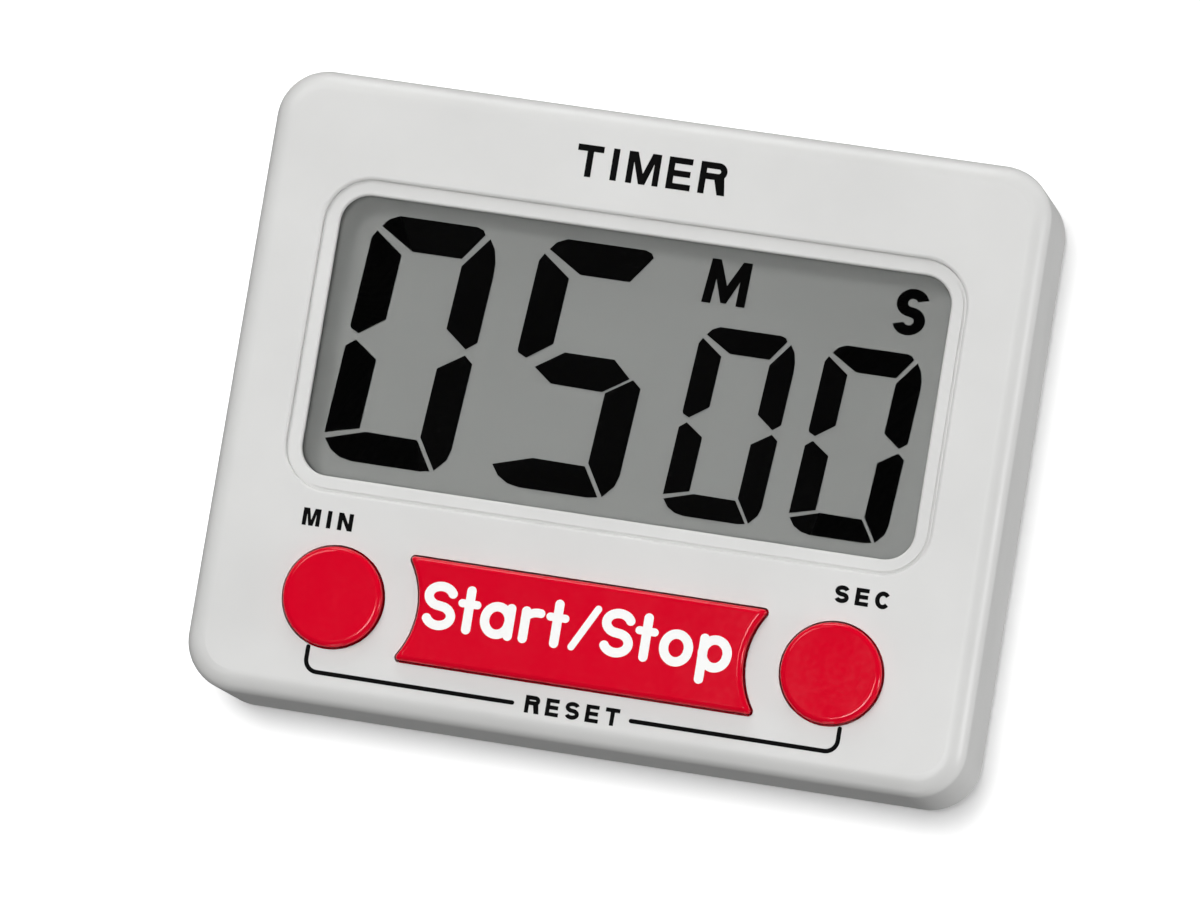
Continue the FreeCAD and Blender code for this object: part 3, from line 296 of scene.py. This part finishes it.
PAINTS = {
    "front_case": moulded("case_face_satin", CASE_WHITE, 0.42),
    "rear_case": moulded("case_back_satin", CASE_WHITE, 0.5, **BACK_GRAIN),
    "battery_door": moulded("door_satin", tint(CASE_WHITE, 0.985), 0.5, **BACK_GRAIN),
    "stand": moulded("stand_satin", tint(CASE_WHITE, 0.99), 0.48, **BACK_GRAIN),
    "min_button": key_gloss,
    "start_stop_button": key_gloss,
    "sec_button": key_gloss,
    "keypad_mat": silicone,

    "display_window": clear_plate("window_acrylic", grey(0.995), 0.14, 0.03, wave=0.004 * MM),
    "lcd_polariser": clear_plate("polariser_film", grey(0.985), 0.01, 0.12),
    "lcd_front_glass": clear_plate("display_glass", grey(0.995), 0.03, 0.02),
    "lcd_rear_glass": display_backing("display_grey_ground"),
    "lcd_edge_seal": moulded("display_seal", colour(0.2, 0.21, 0.2), 0.5),
    "lcd_digits": moulded("segment_black", grey(0.002), 0.55, grain=0.1 * MM, cloud=0.3,
                          shine=0.01),
    "lcd_reflector": metal("reflector_foil", colour(0.7, 0.7, 0.69), 0.45),
    "lcd_frame": moulded("frame_natural_abs", colour(0.62, 0.61, 0.57), 0.5),
    "zebra_strip": banded_rubber("contact_strip"),

    "circuit_board": solder_mask("board_green"),
    "key_pads": carbon,
    "chip_blob": moulded("chip_epoxy", colour(0.012, 0.012, 0.013), 0.35, grain=0.8 * MM,
                         depth=0.01 * MM, cloud=0.3),
    "timing_crystal": metal("crystal_can", colour(0.75, 0.74, 0.72), 0.28, along=(0.2, 1.0, 1.0)),
    "board_resistors": moulded("resistor_film", colour(0.02, 0.02, 0.022), 0.4, cloud=0.3),
    "board_capacitors": moulded("capacitor_ceramic", colour(0.32, 0.2, 0.1), 0.45, cloud=0.15),
    "board_screws": metal("screw_zinc_small", ZINC, 0.34, along=(1.0, 1.0, 0.2),
                          streak=0.2 * MM),
    "case_screws": metal("screw_zinc", ZINC, 0.34, along=(1.0, 1.0, 0.2), streak=0.2 * MM,
                         depth=0.003 * MM),

    "sounder_disc": metal("sounder_brass", colour(0.75, 0.52, 0.2), 0.3, along=(0.15, 1.0, 1.0)),
    "sounder_ceramic": moulded("sounder_ceramic", colour(0.62, 0.6, 0.52), 0.6, grain=0.3 * MM,
                               depth=0.006 * MM, cloud=0.08),
    "sounder_wire_red": moulded("lead_red", colour(0.5, 0.01, 0.01), 0.45, cloud=0.05),
    "sounder_wire_black": moulded("lead_black", grey(0.012), 0.45, cloud=0.2),

    "aaa_cell": metal("cell_nickel", colour(0.7, 0.69, 0.66), 0.3, along=(0.1, 1.0, 1.0)),
    "cell_sleeve": cell_wrap("cell_sleeve_wrap"),
    "positive_contact": metal("contact_nickel", NICKEL, 0.26, along=(1.0, 0.15, 1.0)),
    "negative_contact": metal("contact_nickel_back", NICKEL, 0.26, along=(1.0, 0.15, 1.0)),
    "battery_spring": metal("spring_nickel", colour(0.7, 0.68, 0.63), 0.22, streak=0.15 * MM),
    "magnets": metal("magnet_ground_ferrite", colour(0.1, 0.1, 0.105), 0.5,
                     along=(1.0, 0.1, 1.0), streak=0.25 * MM, depth=0.006 * MM),
}
for key in ("min", "start_stop", "sec"):
    PAINTS[key + "_puck"] = silicone
    PAINTS[key + "_dome"] = silicone
    PAINTS[key + "_pill"] = carbon

for name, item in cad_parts.items():
    for slot in item.material_slots:
        slot.material = PAINTS[name]


# ------------------------------------------------------------------ strokes and plates, in mm

def arc(cx, cy, rx, ry, start, stop, steps):
    """Points along part of an ellipse, angles in degrees."""
    points = []
    for step in range(steps + 1):
        turn = math.radians(start + (stop - start) * step / steps)
        points.append((cx + rx * math.cos(turn), cy + ry * math.sin(turn)))
    return points


def s_curve(cx, cy, width, height, gape):
    """The centre line of an S whose ends stop this many degrees above and below level."""
    quarter = height / 4
    upper = arc(cx, cy + quarter, width / 2, quarter, gape, 250, 22)
    lower = arc(cx, cy - quarter, width / 2, quarter, 70, gape - 180, 22)
    return upper + lower


def line(x0, y0, x1, y1):
    return [(x0, y0), (x1, y1)]


def even_track(points, width):
    """A stroke's path: each point with the stroke's half width there."""
    return [(Vector(point), width / 2) for point in points]


def rounded_track(points, width):
    """The same path with a half-round tip added at each end."""
    steps, thinnest = 7, 0.02
    half = width / 2
    body = even_track(points, width)
    out_of_start = (body[0][0] - body[1][0]).normalized()
    out_of_stop = (body[-1][0] - body[-2][0]).normalized()
    head, tail = [], []
    for step in range(1, steps + 1):
        turn = math.radians(90) * step / steps
        reach = half * math.sin(turn)
        thin = half * max(math.cos(turn), thinnest)
        head.insert(0, (body[0][0] + out_of_start * reach, thin))
        tail.append((body[-1][0] + out_of_stop * reach, thin))
    return head + body + tail


def ribbon(mesh, track, low, high, closed=False):
    """Add one solid stroke to a bmesh: a flat band that follows its path, from low to high."""
    count = len(track)
    rings = []
    for place, (point, half) in enumerate(track):
        if closed:
            before, after = track[place - 1][0], track[(place + 1) % count][0]
        else:
            before, after = track[max(place - 1, 0)][0], track[min(place + 1, count - 1)][0]
        along = (after - before).normalized()
        side = Vector((-along.y, along.x)) * half
        ring = []
        for offset, level in ((side, high), (-side, high), (-side, low), (side, low)):
            flat = (point + offset) * MM
            ring.append(mesh.verts.new((flat.x, flat.y, level)))
        rings.append(ring)
    spans = count if closed else count - 1
    for place in range(spans):
        first, second = rings[place], rings[(place + 1) % count]
        for edge in range(4):
            after = (edge + 1) % 4
            mesh.faces.new((first[edge], second[edge], second[after], first[after]))
    if not closed:
        mesh.faces.new(rings[0][::-1])
        mesh.faces.new(rings[-1])


def slab(mesh, outline, low, high):
    """Add one solid plate with this outline to a bmesh."""
    top = [mesh.verts.new((x * MM, y * MM, high)) for x, y in outline]
    bottom = [mesh.verts.new((x * MM, y * MM, low)) for x, y in outline]
    mesh.faces.new(top)
    mesh.faces.new(bottom[::-1])
    count = len(outline)
    for place in range(count):
        after = (place + 1) % count
        mesh.faces.new((top[place], bottom[place], bottom[after], top[after]))


def square_stroke(points, width):
    """A stroke with square ends."""
    return lambda mesh, low, high: ribbon(mesh, even_track(points, width), low, high)


def round_stroke(points, width):
    """A stroke with half-round ends."""
    return lambda mesh, low, high: ribbon(mesh, rounded_track(points, width), low, high)


def ring_stroke(points, width):
    """A stroke that closes on itself."""
    return lambda mesh, low, high: ribbon(mesh, even_track(points, width), low, high, closed=True)


def plate(outline):
    """A flat shape with this outline."""
    return lambda mesh, low, high: slab(mesh, outline, low, high)


def to_object(name, mesh):
    """Turn a bmesh into an object in the scene."""
    bmesh.ops.recalc_face_normals(mesh, faces=mesh.faces)
    data = bpy.data.meshes.new(name)
    mesh.to_mesh(data)
    mesh.free()
    made = bpy.data.objects.new(name, data)
    bpy.context.scene.collection.objects.link(made)
    return made


def merge(name, solids):
    """Union overlapping solids into one clean piece."""
    base, *others = solids
    bpy.context.view_layer.objects.active = base
    for other in others:
        union = base.modifiers.new("union", "BOOLEAN")
        union.operation = "UNION"
        union.solver = "EXACT"
        union.object = other
        bpy.ops.object.modifier_apply(modifier=union.name)
        bpy.data.objects.remove(other)
    base.name = name
    return base


def printed(name, level, strokes, paint, body):
    """Build one printed mark from its strokes and plates, and let it ride on a body."""
    solids = []
    for number, stroke in enumerate(strokes):
        mesh = bmesh.new()
        stroke(mesh, level - SUNK, level + INK)
        solids.append(to_object("%s_%d" % (name, number), mesh))
    made = merge(name, solids)
    made.data.materials.clear()
    made.data.materials.append(paint)
    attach(made, body)
    return made


# ------------------------------------------------------------------ printed marks, in mm

# Each capital's width for a height of 1.
WIDTHS = {"I": 0.3, "T": 0.82, "E": 0.76, "N": 0.86, "M": 1.02, "C": 0.88, "S": 0.82, "R": 0.84}


def block_letter(letter, left, foot, width, height, pen):
    """Strokes of one plain upright capital whose box starts at left, foot."""
    right, top = left + width, foot + height
    across, middle, half = left + width / 2, foot + height / 2, pen / 2
    if letter == "I":
        return [plate([(across - half, foot), (across + half, foot),
                       (across + half, top), (across - half, top)])]
    if letter == "T":
        return [plate([(across - half, foot), (across + half, foot), (across + half, top - pen),
                       (right, top - pen), (right, top), (left, top), (left, top - pen),
                       (across - half, top - pen)])]
    if letter == "E":
        arm, arm_low, arm_high = 0.95 * pen, middle - 0.45 * pen, middle + 0.5 * pen
        top_end, middle_end = right - 0.02 * width, right - 0.06 * width
        return [plate([(left, foot), (right, foot), (right, foot + arm), (left + pen, foot + arm),
                       (left + pen, arm_low), (middle_end, arm_low), (middle_end, arm_high),
                       (left + pen, arm_high), (left + pen, top - arm), (top_end, top - arm),
                       (top_end, top), (left, top)])]
    if letter == "N":
        crotch, slant = 0.4 * height, 1.12 * pen
        return [plate([(left, foot), (left + pen, foot), (left + pen, top - crotch),
                       (right - slant, foot), (right, foot), (right, top), (right - pen, top),
                       (right - pen, foot + crotch), (left + slant, top), (left, top)])]
    if letter == "M":
        stem, shoulder, point = 0.95 * pen, 1.4 * pen, 0.5 * pen
        inner, valley = foot + 0.68 * height, foot + 0.34 * height
        return [plate([(left, foot), (left + stem, foot), (left + stem, inner),
                       (across - point, foot), (across + point, foot), (right - stem, inner),
                       (right - stem, foot), (right, foot), (right, top),
                       (right - shoulder, top), (across, valley), (left + shoulder, top),
                       (left, top)])]
    if letter == "C":
        gape = 38
        return [square_stroke(arc(across, middle, width / 2 - half, height / 2 - half,
                                  gape, 360 - gape, 30), pen)]
    if letter == "S":
        return [square_stroke(s_curve(across, middle, width - pen, height - pen, 18), pen)]
    if letter == "R":
        bowl = 0.27 * height
        bowl_foot = top - 2 * bowl + half
        loop = line(left + half, top - half, right - bowl, top - half)
        loop += arc(right - bowl, top - bowl, bowl - half, bowl - half, 90, -90, 14)
        loop += [(left + half, bowl_foot)]
        leg = [(right - 1.15 * pen, foot), (right + 0.05 * pen, foot),
               (right - 0.35 * pen, bowl_foot), (across + 0.1 * pen, bowl_foot)]
        stem = [(left, foot), (left + pen, foot), (left + pen, top), (left, top)]
        return [plate(stem), square_stroke(loop, pen), plate(leg)]
    raise ValueError(letter)


def legend(name, word, centre, height, pen, gap):
    """A word in plain block capitals, centred on a point of the face."""
    centre_x, centre_y = centre
    total = sum(WIDTHS[letter] * height for letter in word) + gap * (len(word) - 1)
    left = centre_x - total / 2
    strokes = []
    for letter in word:
        width = WIDTHS[letter] * height
        strokes += block_letter(letter, left, centre_y - height / 2, width, height, pen)
        left += width + gap
    return printed(name, FACE, strokes, ink_black, "case")


def key_lettering():
    """Start/Stop in one rounded pen width, on the wide key. Each letter is placed by its x."""
    pen, slash_pen = 0.89, 0.68
    arm_pen, crossbar_pen = 0.92 * pen, 0.86 * pen
    baseline, small_line, capital_line, crossbar = -21.66, -18.14, -17.04, -18.76
    low, high, top = baseline + pen / 2, small_line - pen / 2, capital_line - pen / 2
    capital_width, bowl_rx, bowl_ry, tail = 2.36, 1.18, (high - low) / 2, 1.26

    def capital_s(x):
        return round_stroke(s_curve(x, (low + top) / 2, capital_width, top - low, 24), pen)

    def stem(x, foot, head):
        return round_stroke(line(x, foot, x, head), pen)

    def bowl(x, last_angle):
        loop = arc(x, (low + high) / 2, bowl_rx, bowl_ry, 0, last_angle, 40)
        return ring_stroke(loop[:-1], pen)

    strokes = [capital_s(-13.66), capital_s(3.56)]
    for t in (-10.84, -2.3, 6.32):
        strokes.append(stem(t, low, top))
        strokes.append(round_stroke(line(t - 0.72, crossbar, t + 0.74, crossbar), crossbar_pen))
    a_strokes = [bowl(-8.02, 345), stem(-6.8, low, high)]
    r_arm = arc(-4.15, high - 0.75, 1.19, 0.72, 180, 80, 12)
    r_strokes = [stem(-5.34, low, high), round_stroke(r_arm, arm_pen)]
    slash = round_stroke(line(-0.6, low - 0.08, 1.42, top + 0.1), slash_pen)
    o_stroke = bowl(9.3, 350)
    p_strokes = [stem(11.88, low - tail, high), bowl(13.02, 350)]
    strokes += a_strokes + r_strokes + [slash, o_stroke] + p_strokes
    return printed("start_stop_lettering", KEY_TOP, strokes, ink_white, "start_stop_key")


def bracket(name, side, inner_x):
    """The thin line from below a round key, round a corner and in towards the reset legend."""
    outer_x, top, row, bend, pen = 25.72 * side, -25.0, -27.3, 1.15, 0.42
    turn = arc(outer_x - bend * side, row + bend, bend * side, bend, 0, -90, 10)
    path = [(outer_x, top)] + turn + [(inner_x, row)]
    return printed(name, FACE, [round_stroke(path, pen)], ink_black, "case")


legend("legend_timer", "TIMER", centre=(-0.6, 24.9), height=3.1, pen=0.62, gap=0.75)
legend("legend_min", "MIN", centre=(-25.9, -12.75), height=1.68, pen=0.42, gap=0.62)
legend("legend_sec", "SEC", centre=(25.9, -12.45), height=1.68, pen=0.42, gap=0.6)
legend("legend_reset", "RESET", centre=(0.35, -27.2), height=1.68, pen=0.4, gap=0.6)
bracket("bracket_left", side=-1, inner_x=-5.45)
bracket("bracket_right", side=1, inner_x=6.05)
key_lettering()


# ------------------------------------------------------------------ stage, light, camera

def studio_white():
    """White paint that glows a little near the timer and fully further away from it."""
    glow_from, full_glow_at, near_glow = 0.21, 0.7, 0.25
    paint = Paint("studio_white")
    drift = paint.noise(0.4)
    shade = paint.colour_mix(drift, grey(0.89), grey(0.91))
    distance = paint.node("ShaderNodeVectorMath", {"operation": "LENGTH"}, [paint.place()],
                          "Value")
    share = paint.spread(distance, 0.0, 1.0, glow_from, full_glow_at)
    glow = paint.colour_mix(share, grey(near_glow), grey(1.0))
    return paint.finish(paint.principled(Base_Color=shade, Roughness=0.9, Emission_Color=glow,
                                         Emission_Strength=1.0))


def make_floor(paint):
    """A pale plane just below the timer, which doesn't show in its reflections."""
    reach = 3.0
    mesh = bmesh.new()
    bmesh.ops.create_grid(mesh, x_segments=1, y_segments=1, size=reach,
                          matrix=Matrix.Translation((0, 0, -FLOOR_GAP)))
    floor = to_object("studio_floor", mesh)
    floor.data.materials.append(paint)
    floor.visible_diffuse = False
    floor.visible_glossy = False
    return floor


def make_backdrop(paint):
    """A tall white ring far behind the timer on every side, which lights nothing."""
    sides = 64
    mesh = bmesh.new()
    rings = []
    for radius, height in ((2.95, -0.01), (2.95, 1.5), (2.8, 3.0), (2.3, 4.0)):
        around = arc(0, 0, radius, radius, 0, 360, sides)[:-1]
        rings.append([mesh.verts.new((x, y, height)) for x, y in around])
    for lower, upper in zip(rings, rings[1:]):
        for place in range(sides):
            after = (place + 1) % sides
            mesh.faces.new((lower[place], lower[after], upper[after], upper[place]))
    backdrop = to_object("studio_backdrop", mesh)
    backdrop.data.materials.append(paint)
    backdrop.visible_diffuse = False
    backdrop.visible_glossy = False
    backdrop.visible_transmission = False
    backdrop.visible_shadow = False


def make_sky():
    """A dim sky over a ground that brightens towards the right."""
    horizon, dim_side, bright_side, dimmest, brightest = 0.05, 0.2, 0.9, 0.8, 10.0
    world = bpy.data.worlds.new("studio")
    world.use_nodes = True
    sky = NodeTree(world.node_tree, "ShaderNodeOutputWorld")
    where = sky.node("ShaderNodeTexCoord", output="Generated")
    rightward = sky.node("ShaderNodeSeparateXYZ", inputs=[where], output="X")
    upward = sky.node("ShaderNodeSeparateXYZ", inputs=[where], output="Z")
    ground = sky.spread(rightward, dimmest, brightest, dim_side, bright_side)
    level = sky.spread(upward, ground, 1.0, -horizon, horizon)
    sky.surface(sky.node("ShaderNodeBackground", inputs={"Color": level, "Strength": 0.1}))
    bpy.context.scene.world = world


def softbox(name, at, across, watts, floor, lights_floor=False):
    """A square softbox aimed at the timer, which lights the floor alone or all but the floor."""
    aim = Vector((0, 0, 0.01))
    data = bpy.data.lights.new(name, "AREA")
    data.shape = "SQUARE"
    data.size = across
    data.energy = watts
    lamp = bpy.data.objects.new(name, data)
    lamp.location = at
    lamp.rotation_mode = "QUATERNION"
    lamp.rotation_quaternion = (aim - Vector(at)).to_track_quat("-Z", "Y")
    bpy.context.scene.collection.objects.link(lamp)
    lit = bpy.data.collections.new(name + "_lights")
    lit.objects.link(floor)
    link = lit.collection_objects[0].light_linking
    link.link_state = "INCLUDE" if lights_floor else "EXCLUDE"
    lamp.light_linking.receiver_collection = lit


def make_light(floor):
    """Softboxes upper left, overhead and beyond the top edge, two low fills and a floor wash."""
    softbox("key_softbox", at=(-0.55, 0.48, 0.95), across=0.4, watts=4.8, floor=floor)
    softbox("overhead_softbox", at=(0.10, -0.12, 1.20), across=0.3, watts=6.4, floor=floor)
    softbox("top_softbox", at=(-0.20, 1.15, 0.35), across=0.5, watts=5.2, floor=floor)
    softbox("side_fill", at=(1.16, 0.0, 0.14), across=0.25, watts=5.0, floor=floor)
    softbox("front_fill", at=(0.05, -1.15, 0.14), across=0.25, watts=1.6, floor=floor)
    softbox("floor_wash", at=(-0.05, 0.09, 1.1), across=0.32, watts=12.8, floor=floor,
            lights_floor=True)


def make_camera():
    """The camera looks down on the face from the lower right, slightly rolled."""
    at = Vector((0.0981, -0.0627, 0.6281))
    back = Vector((0.1597, -0.0972, 0.9824)).normalized()
    up = Vector((-0.1453, 0.9820, 0.1208))
    right = up.cross(back).normalized()
    up = back.cross(right)
    data = bpy.data.cameras.new("camera")
    data.lens = 196.5
    data.sensor_width = 36.0
    camera = bpy.data.objects.new("camera", data)
    turned = Matrix((right, up, back)).transposed().to_4x4()
    camera.matrix_world = Matrix.Translation(at) @ turned
    bpy.context.scene.collection.objects.link(camera)
    bpy.context.scene.camera = camera


white = studio_white()
floor = make_floor(white)
make_sky()
make_light(floor)
make_backdrop(white)
make_camera()
bpy.context.scene.view_settings.view_transform = "Standard"
# Light crosses the window, the film and two glasses, each with two skins.
bpy.context.scene.cycles.transparent_max_bounces = 32

bpy.context.view_layer.update()
